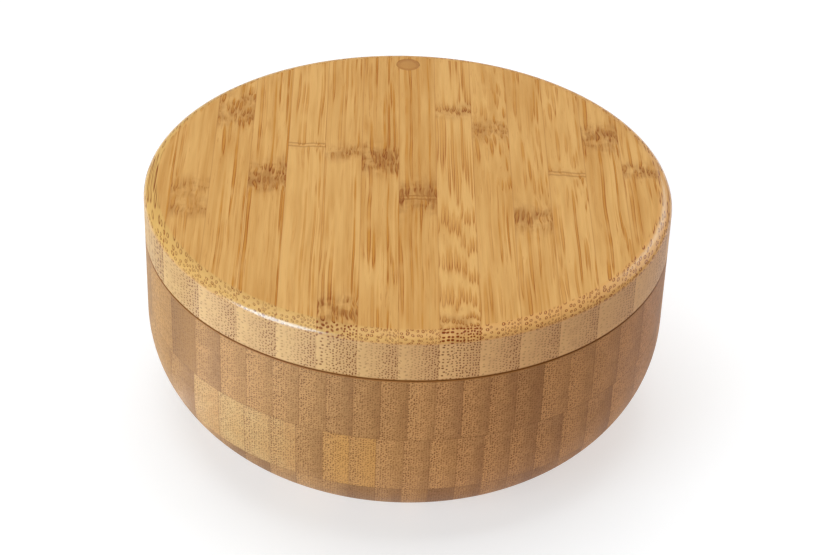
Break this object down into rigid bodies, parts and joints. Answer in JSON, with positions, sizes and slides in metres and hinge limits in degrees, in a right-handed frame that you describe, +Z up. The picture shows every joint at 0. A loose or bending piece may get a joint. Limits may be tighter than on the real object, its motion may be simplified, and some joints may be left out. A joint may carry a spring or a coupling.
{
  "type": "salt box with swivel lid",
  "caption": "Round bamboo salt box: a turned laminated bowl under a flat strip-built lid that swivels aside on a screw at the back.",
  "frame": {"origin": "centre of the flat foot that the box stands on", "axes": "+Z up through the lid, +Y towards the swivel at the back, -Y towards the catch at the front; the bamboo strips run along Y"},
  "size_m": [0.127, 0.127, 0.06],
  "materials": {
    "lid_bamboo": "satin varnished bamboo, edge-pressed strips",
    "bowl_bamboo": "satin varnished bamboo, end grain on the turned wall",
    "plug_bamboo": "satin varnished bamboo",
    "steel": "zinc plated",
    "nylon": "natural nylon",
    "magnet": "nickel plated"
  },
  "bodies": {
    "bowl": {"bowl_base_board": "bowl_bamboo", "bowl_middle_board": "bowl_bamboo", "bowl_top_board": "bowl_bamboo", "swivel_screw": "steel", "swivel_washer": "nylon", "rim_magnet": "magnet"},
    "lid": {"lid_strip_01": "lid_bamboo", "lid_strip_02": "lid_bamboo", "lid_strip_03": "lid_bamboo", "lid_strip_04": "lid_bamboo", "lid_strip_05": "lid_bamboo", "lid_strip_06": "lid_bamboo", "lid_strip_07": "lid_bamboo", "lid_strip_08": "lid_bamboo", "lid_strip_09": "lid_bamboo", "lid_strip_10": "lid_bamboo", "lid_strip_11": "lid_bamboo", "lid_strip_12": "lid_bamboo", "lid_strip_13": "lid_bamboo", "lid_strip_14": "lid_bamboo", "lid_strip_15": "lid_bamboo", "swivel_plug": "plug_bamboo", "lid_magnet": "magnet"}
  },
  "joints": [
    {"name": "lid_swivel", "type": "hinge", "parent": "bowl", "child": "lid", "pos_m": [0, 0.05675, 0.0483], "axis": [0, 0, 1], "continuous": true}
  ]
}
